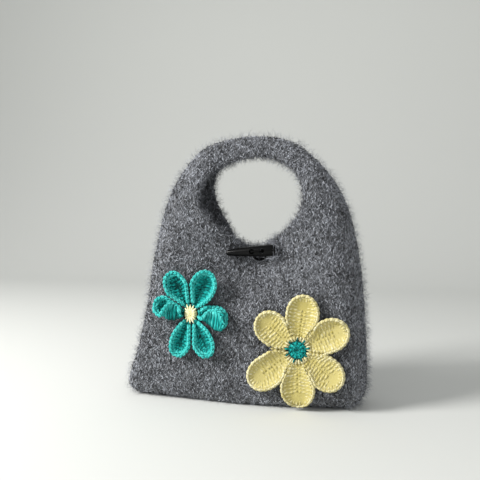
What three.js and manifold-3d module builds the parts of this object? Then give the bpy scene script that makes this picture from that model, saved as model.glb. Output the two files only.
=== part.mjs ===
// A small knitted handbag. Its handle is in one piece with its body, a horn toggle and a
// cord loop close its mouth, and two crocheted flowers are sewn to its front.
// Millimetres, +Z up. X runs along the width and -Y is the front. The origin is the middle
// of the flat foot that the bag stands on.
import * as THREE from "three";
import { mergeVertices } from "three/addons/utils/BufferGeometryUtils.js";
import Module from "manifold-3d";

const wasm = await Module();
wasm.setup();

// Driving dimensions
const FABRIC = 5; // thickness of the brushed knit
const LEAN = 0.07; // how far the bag leans back for each millimetre of height
const MOUTH = { x: 13.5, z: 212 }; // middle of the mouth, seen from the front
const FOOT = { left: -122, right: 125 }; // ends of the straight line that the bag stands on
const APEX = { x: 11, z: 284 }; // top of the handle
const SECTIONS_ROUND = 60; // radial sections of the knit, round the mouth
const RIM_PULL = 70; // how far from its rim a panel takes to reach its full depth
const GAP = 1.2; // room between the front panel and what is sewn on it
const ROOM = 0.5; // small room between other pieces that meet

// The outline from the front: where the left and right edges are at each height.
const OUTLINE = [
  { z: 7, left: -129, right: 130.5 },
  { z: 22, left: -124, right: 132.5 },
  { z: 50, left: -115.5, right: 132.5 },
  { z: 95, left: -107.5, right: 130 },
  { z: 140, left: -103.5, right: 126 },
  { z: 180, left: -96.5, right: 119 },
  { z: 206, left: -89.5, right: 111 },
  { z: 228, left: -81, right: 101 },
  { z: 249.5, left: -68, right: 84.5 },
  { z: 271.5, left: -48, right: 61.5 },
  { z: 280, left: -23, right: 42 },
];

// Radial sections of the knit, set out like the hours of a clock round the mouth.
// front, back: the rim's distance from the mouth's middle in each panel
// rim, belly: how far the rim and the fullest place stand from the mid plane
// flat, roll: half width of the blunt outer edge, and how far the panel takes to roll over it
const SECTIONS = [
  { hour: 0, front: 53, back: 54, rim: 11, belly: 12, flat: 3, roll: 12 },
  { hour: 1, front: 54, back: 55, rim: 11.5, belly: 12.5, flat: 3, roll: 12 },
  { hour: 2, front: 57, back: 58, rim: 16, belly: 16, flat: 3, roll: 13 },
  { hour: 3, front: 57, back: 58, rim: 27, belly: 27, flat: 3, roll: 24 },
  { hour: 4, front: 51, back: 52, rim: 27, belly: 33, flat: 4, roll: 36 },
  { hour: 5, front: 48.5, back: 50, rim: 14.5, belly: 32, flat: 8, roll: 28 },
  { hour: 6, front: 50, back: 51.5, rim: 8.5, belly: 34, flat: 25, roll: 13 },
  { hour: 7, front: 46, back: 52, rim: 16.5, belly: 33, flat: 10, roll: 24 },
  { hour: 8, front: 51, back: 49, rim: 29.5, belly: 34, flat: 4, roll: 36 },
  { hour: 9, front: 62, back: 57, rim: 31, belly: 31, flat: 3, roll: 26 },
  { hour: 10, front: 63, back: 65, rim: 22, belly: 22, flat: 3, roll: 15 },
  { hour: 11, front: 54.5, back: 56.5, rim: 12.5, belly: 13.5, flat: 3, roll: 12 },
];

// Soft folds of the front panel, as long low ridges, or hollows where the rise is negative.
const FOLDS = [
  { x: -30, z: 152, turn: 40, half_length: 38, half_width: 11, rise: 2.6 },
  { x: 52, z: 150, turn: 128, half_length: 40, half_width: 12, rise: 2.6 },
  { x: 12, z: 128, turn: 90, half_length: 26, half_width: 14, rise: -2.4 },
  { x: 16, z: 24, turn: 4, half_length: 60, half_width: 12, rise: 1.8 },
];

// The horn toggle: where the middle of its holes is, and its girth from the thin left end to
// the blunt right end.
const TOGGLE = { x: 20.5, z: 160, tilt: 4, hole_spacing: 10.8, hole_r: 2.8, holes_at: 34 };
const HORN = [
  { along: 0, r: 1.8 },
  { along: 0.8, r: 2.8 },
  { along: 8, r: 3.9 },
  { along: 20, r: 5 },
  { along: 34, r: 5.8 },
  { along: 46, r: 6.1 },
  { along: 52.5, r: 5.6 },
  { along: 54, r: 4 },
];
const THREAD = { r: 0.7, bend: 1.4, steps: 26 }; // the thread through the toggle's holes
const LOOP = { r: 1.1, hang: 1.8, bend: 5, inside: 9, steps: 48 }; // the cord of the closing loop
const SEWN_ROOM = 1.5; // room between the thread's ends and the panel
const SIDES = { horn: 20, hole: 12, cord: 4, centre: 18 }; // facets round what is round

// The flowers, each with its petals' base width as a share of their full width, and a row for
// each petal: the way that it points, its reach from the flower's middle, how far its tip
// rises, and the cloth to the left and right of its line.
// A side has its width along the cloth, as if it were at the petal's widest, and how far the
// cloth turns up or folds over by its rim in degrees, near the petal's base and near its tip.
const cloth = (wide, turn, tip_wide = wide, tip_turn = turn) => ({ wide, turn, tip_wide, tip_turn });
const FLOWERS = [
  {
    name: "teal",
    x: -47.7,
    z: 93.5,
    colour: 0x1fa898,
    centre_colour: 0xefe3a0,
    centre_r: 7.2,
    base_share: 0.36,
    petals: [
      { turn: 117, reach: 49, rise: 8, left: cloth(16, 68), right: cloth(15.5, 68) },
      { turn: 66, reach: 49.5, rise: 8, left: cloth(16, 68), right: cloth(18.5, 60) },
      { turn: -4, reach: 41, rise: 4, left: cloth(15, 45), right: cloth(27, 140, 37, 172) },
      { turn: -61.5, reach: 48.5, rise: 7, left: cloth(14.5, 66), right: cloth(14.5, 66) },
      { turn: -108, reach: 46.5, rise: 7, left: cloth(14.5, 66), right: cloth(14, 66) },
      { turn: 169, reach: 42, rise: 5, left: cloth(34, 172, 15, 70), right: cloth(15, 55) },
    ],
  },
  {
    name: "yellow",
    x: 67,
    z: 61.5,
    colour: 0xe6da86,
    centre_colour: 0x189a94,
    centre_r: 10.4,
    base_share: 0.75,
    petals: [
      { turn: 82, reach: 56, rise: 4, left: cloth(17, 32), right: cloth(17, 32) },
      { turn: 27, reach: 56, rise: 4, left: cloth(17, 36), right: cloth(17, 36) },
      { turn: -36, reach: 55, rise: 4, left: cloth(17, 32), right: cloth(17, 32) },
      { turn: -88, reach: 57, rise: 4, left: cloth(17.5, 32), right: cloth(17.5, 32) },
      { turn: -143, reach: 60, rise: 4, left: cloth(17, 32), right: cloth(17, 32) },
      { turn: 141, reach: 52, rise: 4, left: cloth(17, 36), right: cloth(17, 36) },
    ],
  },
];
const PETAL = {
  thick: 3.2,
  widest: 0.6, // share of the petal's length
  changes: [0.3, 0.65], // shares of the length between which a side's cloth changes
  bend: [0.15, 0.85], // shares of the cloth's width between which it turns up
  crease: [0.25, 0.5], // shares of the cloth's width between which it folds over
  folded: 100, // turned up by more than this, in degrees, it folds over
  bend_r: 1.9, // the tightest bend that the cloth takes
  between: 0.35, // half of the room between petals
  droop: 0.6, // how closely a flower follows the panel where that falls away
  alone: 150, // a side whose neighbour is turned further away than this has room enough
};
const CENTRE = { thick: 4.6, edge_share: 0.55 }; // a flower's domed middle

const COLOURS = { knit: 0x6b6c72, horn: 0x121212, thread: 0x1b1c1c, loop: 0x161717 };
const ROUGHNESS = { knit: 1, yarn: 0.95, horn: 0.3, cord: 0.9 };

// Small helpers

const radians = THREE.MathUtils.degToRad;
const smooth = THREE.MathUtils.smoothstep;

function material(colour, roughness) {
  return new THREE.MeshStandardMaterial({ color: colour, roughness, metalness: 0 });
}

// A column of a table whose rows go round a circle, read between rows on a smooth curve.
function readRound(rows, column, place) {
  const count = rows.length;
  const at = ((place % count) + count) % count;
  const row = Math.floor(at);
  const value = (offset) => rows[(row + offset + count) % count][column];
  const t = at - row;
  const rise = (value(1) - value(-1)) / 2;
  const next_rise = (value(2) - value(0)) / 2;
  const step = value(1) - value(0);
  const bend = 3 * step - 2 * rise - next_rise;
  const ease = rise + next_rise - 2 * step;
  return value(0) + t * (rise + t * (bend + t * ease));
}

// A closed mesh of positions alone, whose shared corners are merged.
function sealed(geometry) {
  const bare = geometry.clone();
  bare.deleteAttribute("normal");
  bare.deleteAttribute("uv");
  return mergeVertices(bare, 1e-3);
}

function solidOf(geometry) {
  const closed = sealed(geometry);
  return new wasm.Manifold(
    new wasm.Mesh({
      numProp: 3,
      vertProperties: closed.attributes.position.array,
      triVerts: new Uint32Array(closed.index.array),
    }),
  );
}

function geometryOf(solid) {
  const { vertProperties, triVerts } = solid.getMesh();
  const made = new THREE.BufferGeometry();
  made.setAttribute("position", new THREE.Float32BufferAttribute(vertProperties, 3));
  made.setIndex(new THREE.Uint32BufferAttribute(triVerts, 1));
  return made;
}

function piece(name, geometry, surface) {
  const mesh = new THREE.Mesh(sealed(geometry), surface);
  mesh.geometry.computeVertexNormals();
  mesh.name = name;
  return mesh;
}

// A round cord along a curve.
function cord(curve, { r, steps }) {
  const ring = new THREE.Shape().absarc(0, 0, r, 0, 2 * Math.PI);
  return new THREE.ExtrudeGeometry(ring, {
    curveSegments: SIDES.cord,
    steps,
    extrudePath: curve,
  });
}

// The knit: one hollow piece, body and handle together

const flat_point = (row, side) => new THREE.Vector2(row[side], row.z);

// The outer edge from the front: up the right side, over the handle and down the left side,
// then straight back along the foot.
const edge = new THREE.CurvePath();
edge.add(
  new THREE.SplineCurve([
    new THREE.Vector2(FOOT.right, 0),
    ...OUTLINE.map((row) => flat_point(row, "right")),
    new THREE.Vector2(APEX.x, APEX.z),
    ...OUTLINE.toReversed().map((row) => flat_point(row, "left")),
    new THREE.Vector2(FOOT.left, 0),
  ]),
);
edge.add(
  new THREE.LineCurve(
    new THREE.Vector2(FOOT.left, 0),
    new THREE.Vector2(FOOT.right, 0),
  ),
);
const edge_points = edge.getSpacedPoints(SECTIONS_ROUND).slice(0, SECTIONS_ROUND);

const hourOf = (x, z) => {
  const turn = THREE.MathUtils.radToDeg(Math.atan2(z - MOUTH.z, x - MOUTH.x));
  return (90 - turn) / 30;
};

// The section that runs from an edge point towards the mouth's middle.
function sectionAt(point) {
  const section = { hour: hourOf(point.x, point.y) };
  for (const column of ["front", "back", "rim", "belly", "flat", "roll"])
    section[column] = readRound(SECTIONS, column, section.hour);
  section.reach = Math.hypot(point.x - MOUTH.x, point.y - MOUTH.z);
  section.out = new THREE.Vector2(point.x - MOUTH.x, point.y - MOUTH.z).normalize();
  return section;
}

// How far the outer face stands from the mid plane, at a distance in from the outer edge.
function depthAt(section, panel, inward) {
  const from_rim = section.reach - section[panel] - inward;
  const pulled = 1 - smooth(from_rim, 0, RIM_PULL);
  const full = section.belly + (section.rim - section.belly) * pulled;
  const rolled = 1 - Math.min(inward / section.roll, 1);
  return section.flat + (full - section.flat) * Math.sqrt(1 - rolled ** 2);
}

// How far the folds push the front panel forward at a place.
function foldAt(x, z) {
  let rise = 0;
  for (const fold of FOLDS) {
    const turn = radians(fold.turn);
    const along = (x - fold.x) * Math.cos(turn) + (z - fold.z) * Math.sin(turn);
    const across = (z - fold.z) * Math.cos(turn) - (x - fold.x) * Math.sin(turn);
    const far = (along / fold.half_length) ** 2 + (across / fold.half_width) ** 2;
    rise += fold.rise * Math.exp(-far);
  }
  return rise;
}

const FRONT_FROM = 18; // depth at which the front panel has taken up its folds in full

// A place in the bag: a distance in from the edge along a section, and a depth from the
// mid plane, negative at the front.
function placed(section, inward, depth) {
  const r = section.reach - inward;
  const x = MOUTH.x + section.out.x * r;
  const z = MOUTH.z + section.out.y * r;
  const fold = foldAt(x, z) * smooth(-depth, 0, FRONT_FROM);
  return new THREE.Vector3(x, depth - fold + LEAN * z, z);
}

// The outer face of a panel along a section, as [inward, depth] points from the edge to the
// rim: round the rolled edge, and then in steps that grow shorter towards the rim.
const ROLL_ANGLES = [0, 30, 60, 90];
const PANEL_STEPS = 7;
const STEP_EASE = 1.6;

function outerFace(section, panel) {
  const panel_length = section.reach - section[panel] - section.roll;
  const inwards = ROLL_ANGLES.map((turn) => section.roll * (1 - Math.cos(radians(turn))));
  for (let step = 1; step <= PANEL_STEPS; step++)
    inwards.push(section.roll + panel_length * (1 - (1 - step / PANEL_STEPS) ** STEP_EASE));
  return inwards.map((inward) => new THREE.Vector2(inward, depthAt(section, panel, inward)));
}

// One panel's half of a section: the outer face, the rolled rim, and the inner face back to
// the edge.
const RIM_TURNS = [60, 120];

function panelHalf(section, panel) {
  const outer = outerFace(section, panel);
  const inside = outer.map((point, i) => {
    if (i === 0) return new THREE.Vector2(1, 0);
    const before = outer[i - 1];
    const after = outer[Math.min(i + 1, outer.length - 1)];
    const run = after.clone().sub(before).normalize();
    return new THREE.Vector2(run.y, -run.x);
  });
  const inner = outer.map((p, i) => p.clone().addScaledVector(inside[i], FABRIC));
  const last = outer.length - 1;
  const middle = outer[last].clone().add(inner[last]).divideScalar(2);
  const across = outer[last].clone().sub(middle);
  const forward = new THREE.Vector2(across.y, -across.x);
  const rim = RIM_TURNS.map((turn) =>
    middle
      .clone()
      .addScaledVector(across, Math.cos(radians(turn)))
      .addScaledVector(forward, Math.sin(radians(turn))),
  );
  return [...outer, ...rim, ...inner.reverse()];
}

// The whole section as a closed ring of points, front panel first.
function ringAt(point) {
  const section = sectionAt(point);
  const front = panelHalf(section, "front");
  const back = panelHalf(section, "back").reverse();
  return [
    ...front.map((p) => placed(section, p.x, -p.y)),
    ...back.map((p) => placed(section, p.x, p.y)),
  ];
}

function knitBody() {
  const rings = edge_points.map(ringAt);
  const around = rings[0].length;
  const sheet = new THREE.PlaneGeometry(1, 1, SECTIONS_ROUND, around);
  const place = sheet.attributes.position;
  for (let row = 0; row <= around; row++)
    for (let column = 0; column <= SECTIONS_ROUND; column++) {
      const p = rings[column % SECTIONS_ROUND][(around - row) % around];
      place.setXYZ(row * (SECTIONS_ROUND + 1) + column, p.x, p.y, p.z);
    }
  return piece("knit_body", sheet, material(COLOURS.knit, ROUGHNESS.knit));
}

// The edge point that the section through a place starts from.
const FINE_EDGE = 720; // points along the whole edge
const fine_edge = edge.getSpacedPoints(FINE_EDGE);

function edgeBeyond(x, z) {
  const side = (point) =>
    (x - MOUTH.x) * (point.y - MOUTH.z) - (z - MOUTH.z) * (point.x - MOUTH.x);
  for (let i = 1; i < fine_edge.length; i++) {
    const before = side(fine_edge[i - 1]);
    const after = side(fine_edge[i]);
    if (before <= 0 && after > 0)
      return fine_edge[i - 1].clone().lerp(fine_edge[i], before / (before - after));
  }
  return fine_edge[0];
}

// The front panel's outer face at a place seen from the front.
function frontFace(x, z) {
  const section = sectionAt(edgeBeyond(x, z));
  const inward = Math.max(section.reach - Math.hypot(x - MOUTH.x, z - MOUTH.z), 0);
  const face = outerFace(section, "front");
  let next = face.findIndex((point) => point.x > inward);
  if (next < 0) next = face.length - 1;
  const [near, far] = [face[next - 1], face[next]];
  const share = (inward - near.x) / (far.x - near.x);
  return placed(section, inward, -THREE.MathUtils.lerp(near.y, far.y, share)).y;
}

// The flowers: cupped petals round a small domed centre

// Lays a flat piece on the front panel. Its x and y run right and up from the flower's
// middle, and its z stands out from the panel.
function laidOnFront(geometry, flower) {
  const middle = frontFace(flower.x, flower.z);
  const place = geometry.attributes.position;
  for (let i = 0; i < place.count; i++) {
    const x = flower.x + place.getX(i);
    const z = flower.z + place.getY(i);
    const face = frontFace(x, z);
    const eased = Math.min(face, middle + PETAL.droop * (face - middle));
    place.setXYZ(i, x, eased - GAP - place.getZ(i), z);
  }
  return geometry;
}

const BASE_ROWS = 5;
const TIP_ROWS = 4;
const TIP_TURN = 80; // how far round the tip's arc the last row lies, in degrees
const PETAL_ROWS = BASE_ROWS + TIP_ROWS;
const CUP_COLUMNS = [1 / 3, 2 / 3, 1]; // shares of the cloth's width
const FOLD_COLUMNS = [0.25, 0.29, 0.33, 0.375, 0.42, 0.46, 0.5, 0.75, 1];
const FINE = 6; // small steps between two columns

// Rows along a petal: the share of its length, its width there as a share of the widest, and
// how far the row is round the tip.
function petalRow(flower, i) {
  if (i < BASE_ROWS) {
    const t = i / BASE_ROWS;
    const swell = Math.sin((t * Math.PI) / 2);
    const width = THREE.MathUtils.lerp(flower.base_share, 1, swell);
    return { along: PETAL.widest * t, width, tip: 0 };
  }
  const turn = radians((TIP_TURN * (i - BASE_ROWS)) / TIP_ROWS);
  const along = PETAL.widest + (1 - PETAL.widest) * Math.sin(turn);
  return { along, width: Math.cos(turn), tip: Math.sin(turn) };
}

// How wide a petal may be on one side at a distance from the flower's middle, so that it
// stays clear of the next petal there.
function roomBeside(flower, shape, side, r) {
  const turns = flower.petals
    .filter((other) => other !== shape)
    .map((other) => THREE.MathUtils.euclideanModulo((other.turn - shape.turn) * side, 360));
  const half_turn = Math.min(...turns, PETAL.alone) / 2;
  return r * Math.tan(radians(half_turn)) - PETAL.between;
}

const isFolded = (side) => Math.max(side.turn, side.tip_turn) > PETAL.folded;
const columnsOf = (side) => (isFolded(side) ? FOLD_COLUMNS : CUP_COLUMNS);

// One side of a petal's row, from its middle line to its rim, as places across and up. The
// cloth lies flat, turns up, and may fold back over.
function sideOfRow(side, row, room) {
  const change = smooth(row.along, ...PETAL.changes);
  const wide = THREE.MathUtils.lerp(side.wide, side.tip_wide, change) * row.width;
  const asked = radians(THREE.MathUtils.lerp(side.turn, side.tip_turn, change));
  const bend = isFolded(side) ? PETAL.crease : PETAL.bend;
  const turned = Math.min(asked, ((bend[1] - bend[0]) * wide) / PETAL.bend_r);
  const place = new THREE.Vector2();
  let share = 0;
  const places = columnsOf(side).map((next) => {
    const step = (next - share) / FINE;
    for (let i = 0; i < FINE; i++) {
      const turn = turned * smooth(share + (i + 0.5) * step, ...bend);
      place.x += Math.cos(turn) * wide * step;
      place.y += Math.sin(turn) * wide * step;
    }
    share = next;
    return place.clone();
  });
  const widest = Math.max(...places.map((p) => p.x));
  const clear = room - (PETAL.thick / 2) * Math.sin(Math.min(turned, Math.PI / 2));
  const fit = Math.min(1, clear / widest);
  return places.map((p) => p.multiplyScalar(fit));
}

// One row of a petal: its under and upper faces, from the right rim to the left one, as
// places across it and out from the panel.
function petalFaces(flower, shape, row, r) {
  const left = sideOfRow(shape.left, row, roomBeside(flower, shape, 1, r));
  const right = sideOfRow(shape.right, row, roomBeside(flower, shape, -1, r));
  for (const p of right) p.x = -p.x;
  const middle = [...right.reverse(), new THREE.Vector2(), ...left];
  const last = middle.length - 1;
  const out = middle.map((_, i) => {
    const run = middle[Math.min(i + 1, last)].clone().sub(middle[Math.max(i - 1, 0)]);
    return new THREE.Vector2(-run.y, run.x).setLength(PETAL.thick / 2);
  });
  const under = middle.map((p, i) => p.clone().sub(out[i]));
  const upper = middle.map((p, i) => p.clone().add(out[i]));
  const lowest = Math.min(...[...under, ...upper].map((p) => p.y));
  for (const p of [...under, ...upper]) p.y += shape.rise * row.tip ** 2 - lowest;
  return { under, upper };
}

function petal(flower, shape, name) {
  const columns = columnsOf(shape.left).length + columnsOf(shape.right).length;
  const box = new THREE.BoxGeometry(1, 1, 1, columns, PETAL_ROWS, 1);
  const place = box.attributes.position;
  const start = flower.centre_r + ROOM;
  const rows = [];
  for (let i = 0; i <= PETAL_ROWS; i++) {
    const row = petalRow(flower, i);
    const r = start + (shape.reach - start) * row.along;
    rows.push({ r, faces: petalFaces(flower, shape, row, r) });
  }
  for (let i = 0; i < place.count; i++) {
    const column = Math.round((0.5 - place.getX(i)) * columns);
    const { r, faces } = rows[Math.round((place.getY(i) + 0.5) * PETAL_ROWS)];
    const point = (place.getZ(i) > 0 ? faces.upper : faces.under)[column];
    place.setXYZ(i, -point.x, r, point.y);
  }
  box.rotateZ(radians(shape.turn - 90));
  return piece(name, laidOnFront(box, flower), material(flower.colour, ROUGHNESS.yarn));
}

const DOME_TURNS = [0, 22.5, 45, 67.5]; // places up the dome, in degrees

function flowerCentre(flower) {
  const base = CENTRE.thick * CENTRE.edge_share;
  const dome = DOME_TURNS.map((turn) => {
    const up = base + (CENTRE.thick - base) * Math.sin(radians(turn));
    return new THREE.Vector2(flower.centre_r * Math.cos(radians(turn)), up);
  });
  const lathe = new THREE.LatheGeometry(
    [
      new THREE.Vector2(0, 0),
      new THREE.Vector2(flower.centre_r / 2, 0),
      new THREE.Vector2(flower.centre_r, 0),
      ...dome,
      new THREE.Vector2(0, CENTRE.thick),
    ],
    SIDES.centre,
  );
  lathe.rotateX(Math.PI / 2);
  const name = `${flower.name}_flower_centre`;
  const surface = material(flower.centre_colour, ROUGHNESS.yarn);
  return piece(name, laidOnFront(lathe, flower), surface);
}

// The closure: a horn toggle on a thread, and a cord loop from the back panel that hooks it

// How far forward the toggle lies, so that all of its length clears the panel.
const toggle_depth = Math.min(
  ...HORN.flatMap((row) => {
    const x = TOGGLE.x + row.along - TOGGLE.holes_at;
    return [-row.r, 0, row.r].map((up) => frontFace(x, TOGGLE.z + up) - row.r - ROOM);
  }),
);
const toggle_girth = Math.max(...HORN.map((row) => row.r));

// The toggle's own frame: the origin is midway between its holes, with x along its length.
const toggle_frame = new THREE.Group();
toggle_frame.position.set(TOGGLE.x, toggle_depth, TOGGLE.z);
toggle_frame.rotation.y = -radians(TOGGLE.tilt);

function toggleHorn() {
  const profile = [
    new THREE.Vector2(0, 0),
    ...HORN.map((row) => new THREE.Vector2(row.r, row.along)),
    new THREE.Vector2(0, HORN.at(-1).along),
  ];
  const horn = new THREE.LatheGeometry(profile, SIDES.horn);
  horn.rotateZ(-Math.PI / 2);
  horn.translate(-TOGGLE.holes_at, 0, 0);
  let solid = solidOf(horn);
  for (const side of [-1, 1]) {
    const length = 4 * toggle_girth;
    const hole = new THREE.CylinderGeometry(TOGGLE.hole_r, TOGGLE.hole_r, length, SIDES.hole);
    hole.translate((side * TOGGLE.hole_spacing) / 2, 0, 0);
    solid = solid.subtract(solidOf(hole));
  }
  return piece("toggle", geometryOf(solid), material(COLOURS.horn, ROUGHNESS.horn));
}

// The thread comes out of the panel, through one hole, over the toggle and back.
function toggleThread() {
  const half = TOGGLE.hole_spacing / 2;
  const front = -(toggle_girth + THREAD.r + ROOM);
  const panel = frontFace(TOGGLE.x, TOGGLE.z) - toggle_depth - SEWN_ROOM;
  const side = [
    new THREE.Vector3(half, panel, 0),
    new THREE.Vector3(half, 0, 0),
    new THREE.Vector3(half, front + THREAD.bend, 0),
    new THREE.Vector3(half - THREAD.bend, front, 0),
  ];
  const other = side.map((p) => new THREE.Vector3(-p.x, p.y, p.z)).reverse();
  const route = new THREE.CatmullRomCurve3([...side, ...other]);
  const surface = material(COLOURS.thread, ROUGHNESS.cord);
  return piece("toggle_thread", cord(route, THREAD), surface);
}

// The middle of the front panel's rolled rim below the mouth, at a place along the width.
const LOWEST = SECTIONS.findIndex((row) => row.hour === 6);
const RIM_ROUNDS = 4; // each round brings the rim's height nearer to its true one

function rimBelow(x) {
  let z = MOUTH.z - SECTIONS[LOWEST].front;
  for (let round = 0; round < RIM_ROUNDS; round++) {
    const section = sectionAt(edgeBeyond(x, z));
    z = MOUTH.z - Math.sqrt(section.front ** 2 - (x - MOUTH.x) ** 2);
  }
  return { y: frontFace(x, z) + FABRIC / 2, z };
}

// The loop is sewn inside the back panel, comes over the front rim on two legs, and hangs
// behind the toggle with its bend round the thread.
const ARCH_TURNS = [0, 45, 90, 135, 170]; // places over the rim, in degrees from the back
const BEND_TURNS = [-45, -90, -135]; // places round the loop's bend

function closingLoop() {
  const half = TOGGLE.hole_spacing / 2 + THREAD.r + ROOM + LOOP.r;
  const bend_z = TOGGLE.z - toggle_girth - LOOP.hang + LOOP.bend;
  const arch = FABRIC / 2 + LOOP.r + ROOM; // how the loop arches over the rim
  const onFront = (x, z) => new THREE.Vector3(x, frontFace(x, z) - LOOP.r - 2 * ROOM, z);
  const legAt = (x) => {
    const rim = rimBelow(x);
    const points = [new THREE.Vector3(x, rim.y + arch + LOOP.r, rim.z - LOOP.inside)];
    for (const turn of ARCH_TURNS) {
      const back = arch * Math.cos(radians(turn));
      const up = arch * Math.sin(radians(turn));
      points.push(new THREE.Vector3(x, rim.y + back, rim.z + up));
    }
    points.push(onFront(x, TOGGLE.z - 1), onFront(x, bend_z));
    return points;
  };
  const bend = BEND_TURNS.map((turn) => {
    const x = TOGGLE.x + half * Math.cos(radians(turn));
    return onFront(x, bend_z + LOOP.bend * Math.sin(radians(turn)));
  });
  const route = new THREE.CatmullRomCurve3([
    ...legAt(TOGGLE.x + half),
    ...bend,
    ...legAt(TOGGLE.x - half).reverse(),
  ]);
  return piece("closing_loop", cord(route, LOOP), material(COLOURS.loop, ROUGHNESS.cord));
}

const bag = new THREE.Group();
bag.add(knitBody());
for (const flower of FLOWERS) {
  flower.petals.forEach((shape, i) =>
    bag.add(petal(flower, shape, `${flower.name}_petal_${i + 1}`)),
  );
  bag.add(flowerCentre(flower));
}
toggle_frame.add(toggleHorn(), toggleThread());
bag.add(toggle_frame, closingLoop());

export default bag;
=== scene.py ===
import math
import bmesh
import bpy
import numpy as np
from mathutils import Matrix, Vector
from mathutils.bvhtree import BVHTree


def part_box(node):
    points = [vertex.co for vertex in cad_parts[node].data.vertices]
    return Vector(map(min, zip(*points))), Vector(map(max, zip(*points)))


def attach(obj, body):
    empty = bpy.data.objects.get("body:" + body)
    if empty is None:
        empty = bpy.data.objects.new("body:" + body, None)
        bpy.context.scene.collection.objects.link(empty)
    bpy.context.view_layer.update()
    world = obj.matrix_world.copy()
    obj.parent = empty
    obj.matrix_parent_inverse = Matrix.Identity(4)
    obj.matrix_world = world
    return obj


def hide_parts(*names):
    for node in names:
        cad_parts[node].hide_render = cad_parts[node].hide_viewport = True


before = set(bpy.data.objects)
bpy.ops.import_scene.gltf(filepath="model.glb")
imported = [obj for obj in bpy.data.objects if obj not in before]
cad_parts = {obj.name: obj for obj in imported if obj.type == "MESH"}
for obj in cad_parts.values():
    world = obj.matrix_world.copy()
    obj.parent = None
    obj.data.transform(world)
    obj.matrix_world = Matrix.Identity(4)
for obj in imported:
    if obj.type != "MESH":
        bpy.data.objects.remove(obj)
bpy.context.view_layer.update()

# Camera: it looks at the bag from a little to its right and a little above, at about arm's
# length, with a moderately long lens.
MM = 0.001
CAMERA_AIM = Vector((-1.9, 0, 171)) * MM
CAMERA_DISTANCE = 672 * MM
CAMERA_TO_RIGHT = math.radians(15)
CAMERA_UP = math.radians(2.5)
CAMERA_SENSOR = 36
CAMERA_LENS = 46.5

camera = bpy.data.objects.new("camera", bpy.data.cameras.new("camera"))
bpy.context.scene.collection.objects.link(camera)
camera.data.sensor_width = CAMERA_SENSOR
camera.data.lens = CAMERA_LENS
towards_camera = Vector((
    math.sin(CAMERA_TO_RIGHT) * math.cos(CAMERA_UP),
    -math.cos(CAMERA_TO_RIGHT) * math.cos(CAMERA_UP),
    math.sin(CAMERA_UP),
))
camera.location = CAMERA_AIM + towards_camera * CAMERA_DISTANCE
camera.rotation_euler = towards_camera.to_track_quat("Z", "Y").to_euler()
bpy.context.scene.camera = camera
bpy.context.scene.view_settings.view_transform = "Standard"

# Knit skin: the thick wool knit of body and handle, worked in one and felted a little, so that
# its columns of stitches only just show. It follows the solid and carries the hairs.
STITCH_WIDTH = 4.6 * MM
STITCH_HEIGHT = 3.4 * MM
STITCH_DEPTH = 0.8 * MM
LEG_LEAN = 0.8
LEG_RELIEF = 0.4
COLUMN_RELIEF = 0.6
FLECK = 1.1 * MM
FLECK_CONTRAST = 1.4
FLECK_DARKER = 0.25
FLECK_RELIEF = 0.6
RELIEF_PAINTED_SHADE = 0.12
KNIT_DARK = (0.018, 0.019, 0.022, 1)
KNIT_MID = (0.09, 0.094, 0.105, 1)
KNIT_LIGHT = (0.24, 0.251, 0.277, 1)
MERGED = 0.02 * MM
JOINED_BEND = math.radians(50)
JOINED_SKEW = math.radians(60)


class Shade:
    """A value in a material's node tree, so that shader maths reads as an expression."""

    def __init__(self, tree, socket=None):
        self.tree = tree
        self.socket = socket

    def node(self, kind, settings, inputs, output=0):
        made = self.tree.nodes.new(kind)
        for name, value in settings.items():
            if name == "stops":
                stops = made.color_ramp.elements
                while len(stops) < len(value):
                    stops.new(1)
                for stop, (place, colour) in zip(stops, value):
                    stop.position = place
                    stop.color = colour
            else:
                setattr(made, name, value)
        for name, value in inputs.items():
            if isinstance(value, Shade):
                self.tree.links.new(value.socket, made.inputs[name])
            else:
                made.inputs[name].default_value = value
        return Shade(self.tree, made.outputs[output])

    def math(self, operation, *values):
        inputs = dict(enumerate(values or (self,)))
        return self.node("ShaderNodeMath", {"operation": operation}, inputs)

    def __add__(self, other):
        return self.math("ADD", self, other)

    __radd__ = __add__

    def __mul__(self, other):
        return self.math("MULTIPLY", self, other)

    __rmul__ = __mul__

    def __sub__(self, other):
        return self.math("SUBTRACT", self, other)

    def __rsub__(self, other):
        return self.math("SUBTRACT", other, self)

    def __truediv__(self, other):
        return self.math("DIVIDE", self, other)

    def ramp(self, *stops):
        return self.node("ShaderNodeValToRGB", {"stops": stops}, {"Fac": self})


def new_material(name, **constants):
    """A material with a Principled shader, its constant sockets set, and its shader maths."""
    material = bpy.data.materials.new(name)
    material.use_nodes = True
    surface = material.node_tree.nodes["Principled BSDF"]
    for socket, value in constants.items():
        surface.inputs[socket.replace("_", " ")].default_value = value
    return material, surface, Shade(material.node_tree)


def link(shade, surface, socket):
    shade.tree.links.new(shade.socket, surface.inputs[socket])


def bump(shade, height, distance):
    inputs = {"Height": height, "Distance": distance, "Strength": 1}
    return shade.node("ShaderNodeBump", {}, inputs)


def own_piece(name, mesh, material, replaced=None):
    """Adds a finished mesh as a piece of the bag."""
    piece = bpy.data.objects.new(name, mesh)
    bpy.context.scene.collection.objects.link(piece)
    mesh.materials.clear()
    mesh.materials.append(material)
    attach(piece, "root")
    if replaced:
        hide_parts(replaced)
    return piece


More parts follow.
